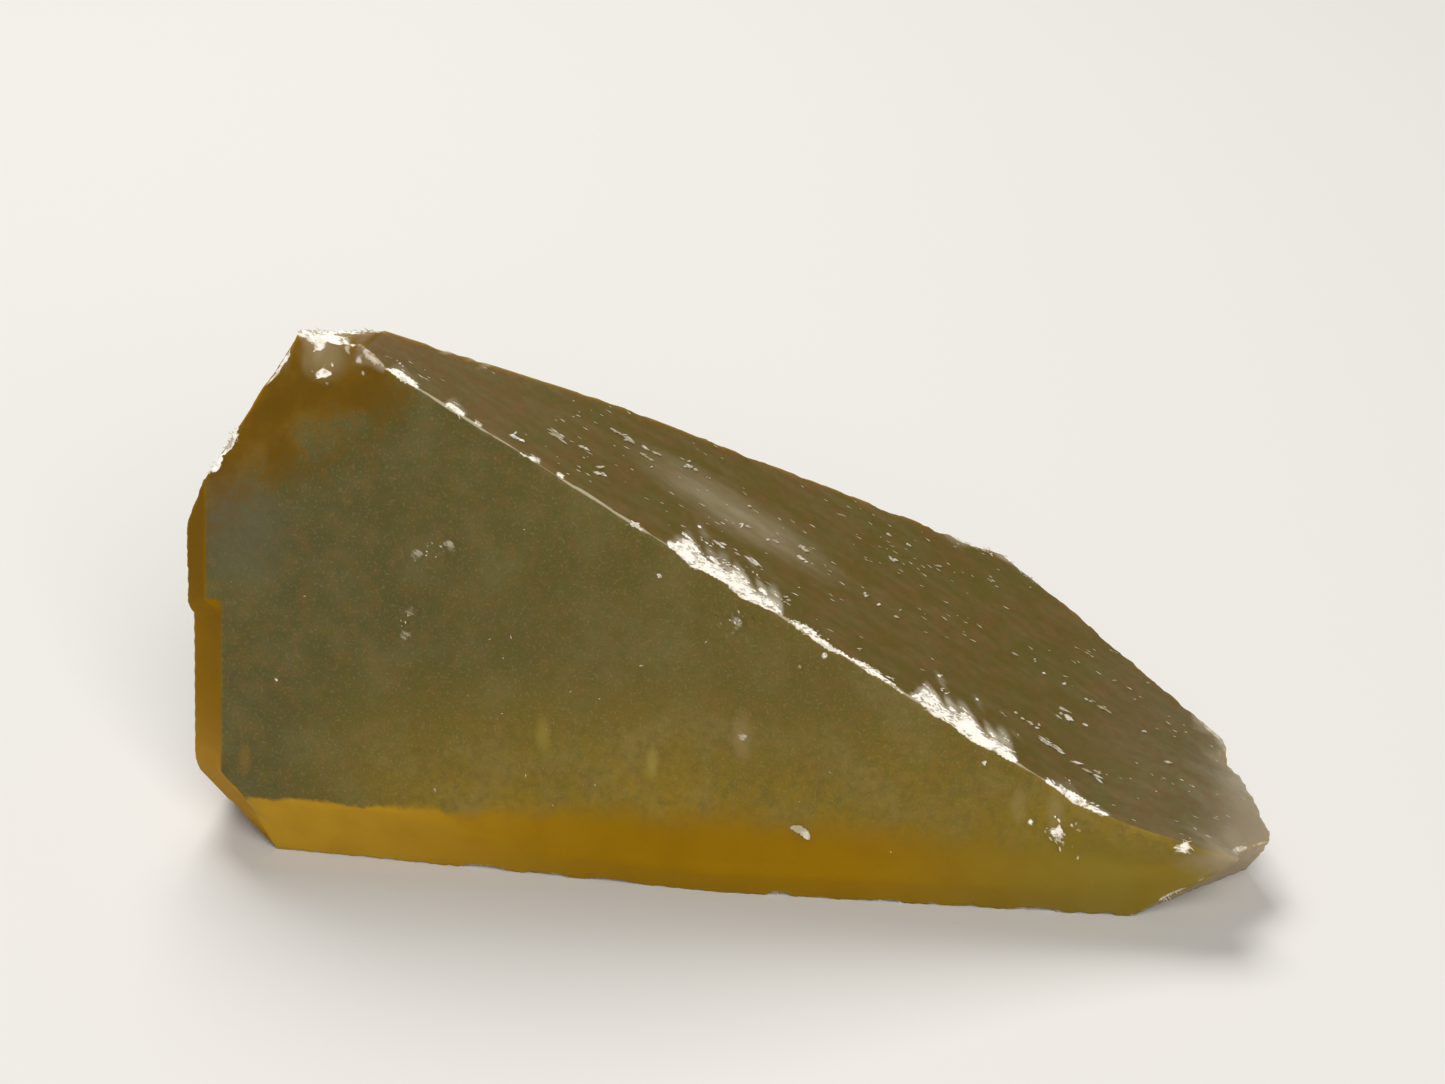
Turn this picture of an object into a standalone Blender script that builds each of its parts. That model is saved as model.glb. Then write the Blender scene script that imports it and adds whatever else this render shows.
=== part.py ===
"""Calcite specimen: one honey-coloured crystal fragment lying on its flat underside.

A block is trimmed back by flat faces, each given by the way it looks and its distance from the
origin.  The ledge on the left end, the shell-shaped breaks and the chips are then cut out of it.
Origin: middle of the body's box, on the resting plane.  +X runs towards the thin tip, +Z is up.
"""

import math
import random

import bmesh
import bpy
from mathutils import Matrix, Vector

MM = 0.001
SEED = 11

HONEY = (0.17, 0.115, 0.035, 1.0)
ROUGHNESS = 0.35

# Rough block that holds the whole fragment, in mm.
BLOCK = (90.0, 60.0, 90.0)

# Flat faces of the fragment: (azimuth, tilt, distance from the origin in mm).
# Azimuth 0 looks along -Y and 90 along +X; tilt is above the horizon.  Angles are in degrees.
FACES = {
    "base": (0.0, -90.0, 0.0),
    "front": (0.0, 12.0, 12.7),
    "undercut_left": (-2.1, -20.0, 10.7),
    "undercut_right": (2.2, -20.0, 10.7),
    "top": (76.9, 61.4, 16.97),
    "left_end": (-92.0, -1.0, 29.7),
    "left_bevel": (-50.0, 8.0, 30.1),
    "heel_bevel": (-42.0, -26.0, 22.2),
    "heel": (-66.0, -45.0, 19.3),
    "shoulder": (-13.0, 28.0, 22.9),
    "shoulder_end": (-105.0, 27.3, 32.8),
    "apex": (65.0, 86.0, 28.0),
    "back_left": (-173.8, 20.3, 10.14),
    "back_right": (146.4, 14.1, 17.02),
    "back_apex": (-164.0, 15.0, 9.34),
    "back_corner": (-129.0, 6.0, 25.5),
    "tip_lip": (44.7, -45.8, 16.4),
    "tip_end": (113.0, -8.0, 24.7),
}

# Ledge on the left end: below it, the narrow bevel was split off deeper.
LEDGE_HEIGHT = 16.2
LEDGE_SLOPE = 28.0
DEEP_BEVEL = (-50.0, 8.4, 29.35)

# Chips along an edge: (place along X, length, depth), in mm.
RIDGE_CHIPS = (
    (-17.6, 3.4, 0.5),
    (0.2, 7.6, 0.8),
    (4.6, 3.2, 0.5),
    (8.2, 4.2, 0.5),
    (13.4, 6.6, 1.0),
    (20.0, 4.6, 0.7),
)
BACK_RIM_CHIPS = (
    (-16.4, 3.8, 0.4),
    (-8.0, 3.0, 0.3),
    (12.2, 4.4, 0.5),
)
TIP_RIM_CHIPS = (
    (20.0, 3.0, 0.4),
    (27.2, 3.0, 0.7),
)
FOOT_CHIPS = (
    (-18.0, 3.0, 0.35),
    (-10.5, 4.0, 0.3),
    (-2.0, 3.4, 0.4),
)

# Shell-shaped breaks in flat faces: (face, place as (x, z), width, depth), in mm.
SHELL_BREAKS = (
    ("shoulder", (-22.0, 27.6), 3.6, 0.4),
    ("back_left", (-9.0, 15.0), 9.0, 0.6),
    ("back_right", (20.5, 4.8), 5.0, 0.4),
)
BITE_ROUGHNESS = 0.03


def looking(azimuth, tilt):
    """Unit vector that looks along an azimuth, tilted above the horizon, in degrees."""
    around, above = math.radians(azimuth), math.radians(tilt)
    return Vector(
        (
            math.sin(around) * math.cos(above),
            -math.cos(around) * math.cos(above),
            math.sin(above),
        )
    )


def trimmed_block():
    """The block, cut back to each flat face in turn."""
    body = bmesh.new()
    bmesh.ops.create_cube(body, size=1.0, matrix=Matrix.Diagonal((*BLOCK, 1.0)))
    for azimuth, tilt, distance in FACES.values():
        normal = looking(azimuth, tilt)
        cut = bmesh.ops.bisect_plane(
            body,
            geom=body.verts[:] + body.edges[:] + body.faces[:],
            dist=0.0001,
            plane_co=normal * distance,
            plane_no=normal,
            clear_outer=True,
        )
        edges = [item for item in cut["geom_cut"] if isinstance(item, bmesh.types.BMEdge)]
        bmesh.ops.holes_fill(body, edges=edges)
    return body


def edge_at(first, second, x):
    """(point, direction, outward) of the edge where two faces meet, at a place along X."""
    normals = [looking(*FACES[name][:2]) for name in (first, second)]
    reach = [FACES[name][2] - normal.x * x for name, normal in zip((first, second), normals)]
    flat = Matrix([[normal.y, normal.z] for normal in normals])
    y, z = flat.inverted() @ Vector(reach)
    along = normals[0].cross(normals[1]).normalized()
    return Vector((x, y, z)), along, (normals[0] + normals[1]).normalized()


def bite_into(bm, point, along, outward, size, depth, dice):
    """Adds a rough ellipsoid that bites into the body at a point, (long, wide) in size."""
    made = bmesh.ops.create_icosphere(bm, subdivisions=3, radius=1.0)["verts"]
    across = outward.cross(along)
    axes = Matrix((along, across, outward)).transposed()
    radii = (size[0] * 0.67, size[1] * 0.67, depth * 3.0)
    centre = point + outward * depth * 2.0
    for vert in made:
        reach = 1.0 + dice.uniform(-BITE_ROUGHNESS, BITE_ROUGHNESS)
        vert.co = centre + axes @ Vector([a * radius * reach for a, radius in zip(vert.co, radii)])


def chips(first, second, places, dice):
    """Cutter mesh for a row of chips along the edge between two faces."""
    bm = bmesh.new()
    for x, length, depth in places:
        point, along, outward = edge_at(first, second, x)
        bite_into(bm, point, along, outward, (length, depth * 5.4), depth, dice)
    return bm


def shell_breaks(places, dice):
    """Cutter mesh for shallow shell-shaped breaks in flat faces."""
    bm = bmesh.new()
    for name, (x, z), width, depth in places:
        azimuth, tilt, distance = FACES[name]
        outward = looking(azimuth, tilt)
        point = Vector((x, (distance - outward.x * x - outward.z * z) / outward.y, z))
        along = outward.cross(Vector((0.0, 0.0, 1.0))).normalized()
        bite_into(bm, point, along, outward, (width, width), depth, dice)
    return bm


def ledge_cutter():
    """Slanted block that deepens the left bevel below the ledge."""
    azimuth, tilt, distance = DEEP_BEVEL
    outward = looking(azimuth, tilt)
    sideways = outward.cross(Vector((0.0, 0.0, 1.0))).normalized()
    sideways.rotate(Matrix.Rotation(math.radians(LEDGE_SLOPE), 3, outward))
    upward = sideways.cross(outward)
    size = Vector((24.0, 6.0, 24.0))
    bm = bmesh.new()
    bmesh.ops.create_cube(bm, size=1.0, matrix=Matrix.Diagonal((*size, 1.0)))
    axes = Matrix((sideways, outward, upward)).transposed()
    corner = Vector((-27.6, -11.0, LEDGE_HEIGHT))
    corner += outward * (distance - corner.dot(outward))
    centre = corner + outward * size.y / 2 - upward * size.z / 2
    bm.transform(Matrix.Translation(centre) @ axes.to_4x4())
    return bm


def new_object(name, bm):
    """Object holding a mesh that was drawn in mm, with its faces looking outward."""
    bm.normal_update()
    bmesh.ops.recalc_face_normals(bm, faces=bm.faces[:])
    bm.transform(Matrix.Scale(MM, 4))
    mesh = bpy.data.meshes.new(name)
    bm.to_mesh(mesh)
    bm.free()
    made = bpy.data.objects.new(name, mesh)
    bpy.context.scene.collection.objects.link(made)
    return made


def cut_out(body, name, bm):
    """Takes a cutter's shape out of the body and leaves the cutter as a hidden helper."""
    cutter = new_object(name, bm)
    cutter.hide_render = True
    cutter.display_type = "WIRE"
    cut = body.modifiers.new(name, "BOOLEAN")
    cut.operation = "DIFFERENCE"
    cut.solver = "EXACT"
    cut.use_self = True
    cut.object = cutter


for old in list(bpy.data.objects):
    bpy.data.objects.remove(old, do_unlink=True)

dice = random.Random(SEED)
crystal = new_object("calcite_crystal", trimmed_block())
cut_out(crystal, "ledge_cut", ledge_cutter())
cut_out(crystal, "ridge_chips", chips("front", "top", RIDGE_CHIPS, dice))
cut_out(crystal, "back_rim_chips", chips("top", "back_left", BACK_RIM_CHIPS, dice))
cut_out(crystal, "tip_rim_chips", chips("top", "back_right", TIP_RIM_CHIPS, dice))
cut_out(crystal, "foot_chips", chips("undercut_left", "base", FOOT_CHIPS, dice))
cut_out(crystal, "shell_breaks", shell_breaks(SHELL_BREAKS, dice))

calcite = bpy.data.materials.new("honey_calcite")
calcite.use_nodes = True
surface = calcite.node_tree.nodes["Principled BSDF"]
surface.inputs["Base Color"].default_value = HONEY
surface.inputs["Roughness"].default_value = ROUGHNESS
surface.inputs["Metallic"].default_value = 0.0
crystal.data.materials.append(calcite)
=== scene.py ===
"""Calcite specimen: a honey-coloured crystal fragment on a pale floor, drawn in metres."""

import math

import bpy
import numpy as np
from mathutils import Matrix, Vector, noise
from mathutils.geometry import delaunay_2d_cdt


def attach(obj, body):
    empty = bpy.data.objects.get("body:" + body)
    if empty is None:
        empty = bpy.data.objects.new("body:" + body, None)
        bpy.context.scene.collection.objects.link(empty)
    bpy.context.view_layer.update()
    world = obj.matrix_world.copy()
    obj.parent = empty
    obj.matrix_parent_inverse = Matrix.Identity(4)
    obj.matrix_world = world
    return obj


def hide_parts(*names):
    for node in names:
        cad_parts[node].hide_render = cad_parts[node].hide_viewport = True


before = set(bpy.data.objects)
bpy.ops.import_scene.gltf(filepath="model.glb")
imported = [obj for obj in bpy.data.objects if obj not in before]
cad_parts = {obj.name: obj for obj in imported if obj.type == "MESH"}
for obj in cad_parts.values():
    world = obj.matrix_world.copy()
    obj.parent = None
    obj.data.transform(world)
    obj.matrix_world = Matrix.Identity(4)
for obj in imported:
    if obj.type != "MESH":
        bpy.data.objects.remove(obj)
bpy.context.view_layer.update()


# ---- The crystal ----
# One piece of calcite split from a larger crystal.  It is bounded by flat growth and cleavage
# faces, and by shell-shaped breaks where the brittle stone gave way.  Its edges are bruised.

MM = 0.001
FINE_STEP = 0.14  # mm between points beside the edges
FINE_BAND = 0.7  # mm from an edge that get the fine step
RIDGE_BAND = 2.2  # mm from the ridge that get it too
ROW_HEIGHT = 0.866  # between rows of points, in steps, for equal-sided triangles
HIDDEN_COARSER = 2.2  # the back and the underside are this much coarser
JITTER = 0.12  # steps: how far the points inside a face are shifted at most
CLEARANCE = 0.55  # steps: how far they keep from its edges
SMALL_FACE = 70.0  # mm2: smaller faces are fine all over
SMALLEST_FACET = 0.05  # mm2: smaller ones belong to chips, not to flat faces
SAME_FACE = (0.9998, 0.1)  # cosine and mm within which two facets are one face
PROUD = 0.03  # mm that the body may stand out before one of its own faces
CORNER_SIZE = 0.02  # mm: corners closer than this are one
FAR_OUT = 200.0  # mm: well outside the stone
WORN_EDGE = (0.10, 0.45)  # mm: narrowest and widest rounding of the edges
WEAR_LUMPS = 2.2  # mm over which the rounding changes
CORNER_SHARE = 0.7  # a soft edge reaches this far towards the next corner

dice = np.random.default_rng(7)
cad_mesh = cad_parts["calcite_crystal"].data
cad_points = np.array([tuple(v.co) for v in cad_mesh.vertices]) / MM


def looking(azimuth, tilt):
    """Unit vector for an azimuth (0 looks along -Y, 90 along +X) and a tilt above the horizon."""
    around, above = math.radians(azimuth), math.radians(tilt)
    level = math.cos(above)
    return np.array((math.sin(around) * level, -math.cos(around) * level, math.sin(above)))


def unit(vector):
    """The vector, one long."""
    return vector / np.linalg.norm(vector)


def flattened(along, out):
    """A direction laid flat across another."""
    return unit(along - out * (along @ out))


def flat_faces():
    """Normals and distances, in mm, of the faces that have all of the body behind them."""
    normals, distances = [], []
    for polygon in sorted(cad_mesh.polygons, key=lambda p: -p.area):
        if polygon.area < SMALLEST_FACET * MM * MM:
            break
        normal = np.array(polygon.normal)
        distance = cad_points[polygon.vertices[0]] @ normal
        known = any(
            normal @ other > SAME_FACE[0] and abs(distance - reach) < SAME_FACE[1]
            for other, reach in zip(normals, distances)
        )
        if not known and (cad_points @ normal).max() < distance + PROUD:
            normals.append(normal)
            distances.append(distance)
    return np.array(normals), np.array(distances)


normals, distances = flat_faces()


def facing(azimuth, tilt):
    """Number of the flat face that looks nearest to a direction."""
    return int(np.argmax(normals @ looking(azimuth, tilt)))


FRONT = facing(0, 12)
TOP = facing(77, 61)
BASE = facing(0, -90)
SHOULDER = facing(-13, 28)
LEFT_BEVEL = facing(-50, 8)
LEFT_END = facing(-92, -1)
SHOULDER_END = facing(-105, 27)
UNDERCUTS = (facing(-2, -20), facing(2.2, -20))
HEELS = (facing(-42, -26), facing(-66, -45))
APEX = facing(65, 86)
BACK = facing(-174, 20)
BACK_RIGHT = facing(146, 14)
BACK_APEX = facing(-164, 15)
TIP_LIP = facing(44.7, -45.8)
TIP_END = facing(113, -8)
HIDDEN = {BASE} | {i for i, n in enumerate(normals) if n[1] > 0.5}
ridge_run = unit(np.cross(normals[TOP], normals[FRONT]))
ridge_out = unit(normals[TOP] + normals[FRONT])


def on_edge(first, second, x):
    """Point of the edge between two flat faces, at a place along X."""
    pair = [first, second]
    reach = distances[pair] - normals[pair, 0] * x
    return np.array((x, *np.linalg.solve(normals[pair, 1:], reach)))


def on_face(face, x, z):
    """Point of a flat face at a place along X and Z."""
    normal = normals[face]
    return np.array((x, (distances[face] - normal[0] * x - normal[2] * z) / normal[1], z))


# Bruises of two faces: place along X and Z, radius in mm, how white.  The first spot of the
# shoulder is a painted highlight: the glint of its shell break, drawn as a white bruise.
BRUISES_AND_GLINT = {
    FRONT: (
        (17.2, 6.1, 0.20, 1.0), (18.6, 5.6, 0.42, 1.1),
        (19.4, 6.1, 0.22, 0.85), (18.2, 4.65, 0.30, 0.9),
        (18.9, 5.0, 0.25, 0.8), (24.4, 4.6, 0.40, 1.0),
        (14.6, 9.2, 0.20, 1.0), (1.4, 9.6, 0.40, 0.72),
        (-15.6, 5.4, 0.20, 0.8), (-17.1, 15.2, 0.70, 0.62),
        (-17.3, 14.0, 0.60, 0.62), (-15.0, 19.0, 0.70, 0.62),
        (-16.8, 18.4, 0.65, 0.62), (0.9, 15.9, 0.80, 0.66),
        (4.4, 13.7, 0.30, 0.72), (-3.4, 18.1, 0.20, 0.90),
        (5.7, 14.4, 0.24, 1.0), (-24.6, 10.9, 0.16, 0.95),
    ),
    SHOULDER: (
        # the first spot is a painted highlight: the glint of the shell break
        (-22.3, 27.6, 0.50, 1.4), (-22.05, 27.1, 0.26, 1.0),
        (-21.4, 27.3, 0.22, 0.85), (-22.6, 26.1, 0.20, 0.75),
        (-20.2, 28.5, 0.45, 0.75), (-20.0, 27.9, 0.30, 0.7),
        (-21.0, 28.9, 0.40, 0.7),
    ),
}


def outline_of(face):
    """Corners of a flat face: a large square clipped by every other face."""
    normal = normals[face]
    side = unit(np.cross(normal, (0.0, 0.0, 1.0) if abs(normal[2]) < 0.9 else (1.0, 0.0, 0.0)))
    rise = np.cross(normal, side)
    outline = [
        normal * distances[face] + FAR_OUT * (a * side + b * rise)
        for a, b in ((-1, -1), (1, -1), (1, 1), (-1, 1))
    ]
    for other in range(len(normals)):
        if other == face:
            continue
        kept = []
        for start, end in zip(outline, outline[1:] + outline[:1]):
            above = start @ normals[other] - distances[other]
            below = end @ normals[other] - distances[other]
            if above <= 0:
                kept.append(start)
            if above * below < 0:
                kept.append(start + (end - start) * above / (above - below))
        outline = kept
    return outline, side, rise


corners, points, edge_points = [], [], {}


def corner_number(place):
    """Number of a corner that neighbouring faces share."""
    for number, corner in enumerate(corners):
        if np.linalg.norm(corner - place) < CORNER_SIZE:
            return number
    corners.append(place)
    return len(corners) - 1


def points_along(first, second):
    """Numbers of the points from one corner up to the next, shared by the two faces."""
    low, high = sorted((first, second))
    if (low, high) not in edge_points:
        steps = max(1, round(np.linalg.norm(corners[high] - corners[low]) / FINE_STEP))
        start = len(points)
        points.extend(
            corners[low] + (corners[high] - corners[low]) * k / steps for k in range(1, steps)
        )
        edge_points[low, high] = list(range(start, len(points)))
    run = edge_points[low, high]
    return run if first == low else run[::-1]


outlines = {face: outline_of(face) for face in range(len(normals))}
outlines = {face: found for face, found in outlines.items() if len(found[0]) > 2}
rings = {}
for face, (outline, _, _) in outlines.items():
    ring = []
    for place in outline:
        number = corner_number(place)
        if not ring or ring[-1] != number:
            ring.append(number)
    rings[face] = ring[:-1] if ring[0] == ring[-1] else ring
points = list(corners)

triangles, triangle_face = [], []
for face, ring in rings.items():
    if len(ring) < 3:
        continue
    _, side, rise = outlines[face]
    border = []
    for first, second in zip(ring, ring[1:] + ring[:1]):
        border += [first] + points_along(first, second)
    frame_2d = np.array((side, rise)).T
    border_2d = np.array([points[k] for k in border]) @ frame_2d
    ring_2d = np.array([points[k] for k in ring]) @ frame_2d
    run = np.roll(ring_2d, -1, axis=0) - ring_2d
    inward = np.stack((-run[:, 1], run[:, 0]), axis=1)
    inward /= np.linalg.norm(inward, axis=1)[:, None]
    area = 0.5 * abs(np.sum(ring_2d[:, 0] * run[:, 1] - ring_2d[:, 1] * run[:, 0]))

    step = FINE_STEP * (HIDDEN_COARSER if face in HIDDEN else 1.0)
    low, high = ring_2d.min(0), ring_2d.max(0)
    i, j = np.meshgrid(
        np.arange(int((high[0] - low[0]) / step) + 2),
        np.arange(int((high[1] - low[1]) / (step * ROW_HEIGHT)) + 2),
    )
    across, up = low[0] + step * (i + 0.5 * (j % 2)), low[1] + step * ROW_HEIGHT * j
    grid = np.stack((across, up), axis=-1)
    coarse = ((j % 2 == 0) & ((i + j // 2) % 2 == 0)).ravel()
    grid = grid.reshape(-1, 2)
    grid += dice.uniform(-JITTER, JITTER, grid.shape) * step
    gaps = np.min([(grid - start) @ away for start, away in zip(ring_2d, inward)], axis=0)
    solid = grid @ frame_2d.T + normals[face] * distances[face]
    from_ridge = solid - on_edge(FRONT, TOP, 0.0)
    from_ridge -= np.outer(from_ridge @ ridge_run, ridge_run)
    fine = (gaps < FINE_BAND) | (np.linalg.norm(from_ridge, axis=1) < RIDGE_BAND)
    for x, z, radius, _ in BRUISES_AND_GLINT.get(face, ()):
        fine |= np.linalg.norm(solid - on_face(face, x, z), axis=1) < radius + 0.5
    kept = (gaps > CLEARANCE * step) & (coarse | fine | (area < SMALL_FACE))

    flat = [Vector(p) for p in np.vstack((border_2d, grid[kept]))]
    loop = [(k, (k + 1) % len(border)) for k in range(len(border))]
    _, _, found, source, _, _ = delaunay_2d_cdt(flat, loop, [], 1, 1e-6)
    numbers = border + list(range(len(points), len(points) + int(kept.sum())))
    points.extend(solid[kept])
    for triangle in found:
        triangles.append([numbers[source[k][0]] for k in triangle])
        triangle_face.append(face)

points = np.array(points)
triangle_face = np.array(triangle_face)


def rough(places, scale, octaves=3, shift=0.0):
    """Smooth noise from about -1 to 1 at places in mm; scale is the size of its lumps in mm."""
    return np.array(
        [noise.fractal(Vector(p) / scale + Vector((shift,) * 3), 0.6, 2.1, octaves) for p in places]
    )


def blend(low, high, values):
    """Smooth step from 0 at low to 1 at high."""
    t = np.clip((values - low) / (high - low), 0.0, 1.0)
    return t * t * (3.0 - 2.0 * t)


# Bruised edges: where two faces meet, the stone is rubbed back to a narrow rounding.
above = points @ normals.T - distances
as_one = above.copy()
as_one[:, UNDERCUTS[0]] = above[:, UNDERCUTS].max(axis=1)
as_one[:, UNDERCUTS[1]] = -np.inf
order = np.argsort(as_one, axis=1)
first, second, third = order[:, -1], order[:, -2], order[:, -3]
rows = np.arange(len(points))
edge_gap = as_one[rows, first] - as_one[rows, second]
corner_gap = as_one[rows, first] - as_one[rows, third]
near = edge_gap < WORN_EDGE[1]
wear = np.full(len(points), WORN_EDGE[0])
uneven = blend(-0.1, 0.7, rough(points[near], WEAR_LUMPS))
wear[near] += (WORN_EDGE[1] - WORN_EDGE[0]) * uneven
# Rounder edges, where two faces run softly into each other: two faces, from X to X, width.
SOFT_EDGES = (
    (FRONT, SHOULDER, -40.0, -39.0, 1.7),
    (FRONT, UNDERCUTS[0], -21.0, -6.0, 1.6),
    (UNDERCUTS[0], HEELS[0], -40.0, -39.0, 0.8),
    (FRONT, TOP, 20.0, 26.0, 1.0),
)
for one, other, start, end, width in SOFT_EDGES:
    meet = np.isin(first, (one, other)) & np.isin(second, (one, other))
    rounder = width * blend(start, end, points[meet, 0])
    wear[meet] = np.maximum(wear[meet], np.minimum(rounder, CORNER_SHARE * corner_gap[meet]))
lean = np.clip(wear - edge_gap, 0.0, None) / wear
pull = lean**2 * wear / 4.0
share = (lean / 2)[:, None]
direction = (1 - share) * normals[first] + share * normals[second]
points -= direction * (pull / np.sum(direction**2, axis=1))[:, None]

# Ledge on the left end: below it, the narrow bevel split off one sheet deeper.
LEDGE_HEIGHT = 16.2  # mm
LEDGE_SLOPE = 28.0  # degrees
LEDGE_DEPTH = 0.75  # mm
LEDGE_STEP = 1.3  # mm over which the ledge drops to its full depth
ledge_side = np.cross(normals[LEFT_BEVEL], (0.0, 0.0, 1.0))
ledge_corner = np.array((-27.6, -11.0, LEDGE_HEIGHT))
over_ledge = points[:, 2] - LEDGE_HEIGHT
over_ledge += math.tan(math.radians(LEDGE_SLOPE)) * ((points - ledge_corner) @ ledge_side)
over_ledge += 0.12 * rough(points, 0.9, shift=5.0)
proud = points @ normals[LEFT_BEVEL] - distances[LEFT_BEVEL] + LEDGE_DEPTH
split = (over_ledge < 0) & (proud > 0)
split_off = np.zeros(len(points))
split_off[split] = proud[split] * blend(0.0, LEDGE_STEP, -over_ledge[split])
points -= np.outer(split_off, normals[LEFT_BEVEL])

crush = np.zeros(len(points))
haze = np.zeros(len(points))


BALL = 0.67  # reach of a ball that leaves a hollow one long when held two depths up


def scoop(centre, along, outward, length, width, depth, whiteness):
    """Presses a shell-shaped hollow into the surface and notes how crushed it is."""
    across = np.cross(outward, along)
    local = (points - centre) @ np.array((along, across, outward)).T
    shell = np.hypot(local[:, 0] / (BALL * length), local[:, 1] / (BALL * width))
    close = np.abs(local[:, 2]) < 2.0 * depth + 0.4
    inside = np.flatnonzero((shell < 1.0) & close)
    floor = depth * (2.0 - 3.0 * np.sqrt(1.0 - shell[inside] ** 2))
    drop = np.clip(local[inside, 2] - floor, 0.0, None)
    points[inside] -= np.outer(drop, outward)
    amount = whiteness * blend(0.0, 0.08, drop)
    crush[inside] = np.maximum(crush[inside], amount)


def edge_between(one, other):
    """Directions along and out of the edge where two faces meet."""
    run = np.cross(normals[other], normals[one])
    run *= np.sign(run[0]) / np.linalg.norm(run)
    return run, unit(normals[one] + normals[other])


def crust(one, other, start, end, on_one, on_other, whiteness, halo=0.0):
    """Crushed white beside an edge, from X to X: its reach over each face, wispy on the second."""
    run, _ = edge_between(one, other)
    offset = points - on_edge(one, other, (start + end) / 2.0)
    along = offset @ run
    gap = np.linalg.norm(offset - np.outer(along, run), axis=1)
    half = (end - start) / 2.0 / run[0]
    beside = np.flatnonzero((np.abs(along) < half) & (gap < 4.0 * max(on_one, on_other)))
    along, gap = along[beside], gap[beside]
    wispy = above[beside, other] > above[beside, one]
    # Streaks run along the edge, 1.2 mm long and 0.16 mm wide; lumps are about 1 mm across.
    streaks = np.array([noise.noise((a / 1.2 + b, b / 0.16, 3.0)) for a, b in zip(along, gap)])
    lumps = np.array([noise.noise((a / 0.8 + b / 0.9, 7.0, b / 1.5)) for a, b in zip(along, gap)])
    reach = np.where(wispy, on_other, on_one) * np.sqrt(1.0 - (along / half) ** 2)
    reach *= np.clip(0.85 + 0.9 * lumps, 0.2, 1.6)
    across = gap / np.maximum(reach, 0.04)
    across *= 1.0 - np.where(wispy, 1.1, 0.4) * streaks
    white = whiteness * (1.0 - blend(0.5, np.where(wispy, 1.4, 1.2), across))
    crush[beside] = np.maximum(crush[beside], white)
    faded = halo * (1.0 - blend(0.8 * reach, 2.4 * reach + 0.1, gap)) * wispy
    haze[beside] = np.maximum(haze[beside], faded)


# Chips along the long ridge.  Each is a hackle of small overlapping splits that run with the
# ridge, white where the stone was crushed, with wisps and a haze that reach over the top.
RIDGE_CHIPS = (
    # from X to X, depth, reach over front and top, how white, how hazy
    (-18.5, -16.8, 0.24, 0.20, 0.7, 1.1, 0.2),
    (-15.4, -14.2, 0.12, 0.10, 0.8, 0.9, 0.3),
    (-13.9, -13.2, 0.10, 0.08, 0.3, 0.9, 0.0),
    (-10.8, -10.0, 0.10, 0.12, 0.4, 0.9, 0.1),
    (-9.4, -8.6, 0.10, 0.10, 0.3, 0.9, 0.0),
    (-3.1, 0.3, 0.34, 0.36, 1.6, 1.3, 0.5),
    (-0.6, 3.3, 0.38, 0.36, 1.3, 1.3, 0.9),
    (3.4, 6.1, 0.16, 0.18, 0.4, 1.1, 0.0),
    (6.4, 9.9, 0.18, 0.20, 0.4, 1.1, 0.0),
    (10.4, 13.4, 0.30, 0.28, 1.5, 1.2, 0.9),
    (11.8, 16.3, 0.42, 0.36, 1.3, 1.2, 0.9),
    (17.8, 21.4, 0.30, 0.28, 0.45, 1.1, 0.3),
)
for start, end, depth, on_front, on_top, whiteness, halo in RIDGE_CHIPS:
    length = (end - start) / ridge_run[0]
    middle = on_edge(FRONT, TOP, (start + end) / 2.0)
    scoop(middle, ridge_run, ridge_out, length * 0.75, depth * 2.8, depth * 0.7, 0.9)
    for _ in range(int(5 + length * 5)):
        shift = dice.uniform(-0.5, 0.5)
        place = middle + ridge_run * shift * length
        place += np.cross(ridge_run, normals[TOP]) * dice.uniform(-0.2, 2.4) * depth
        size = dice.uniform(0.15, 0.4) * length
        deep = depth * dice.uniform(0.2, 0.55) * (1.0 - abs(shift))
        turn = ridge_run + 0.10 * dice.normal(size=3)
        out = unit(ridge_out + 0.2 * dice.normal(size=3))
        scoop(place, flattened(turn, out), out, size, deep * 2.4, deep, 0.9)
    crust(FRONT, TOP, start, end, on_front, on_top, whiteness, halo)

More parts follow.
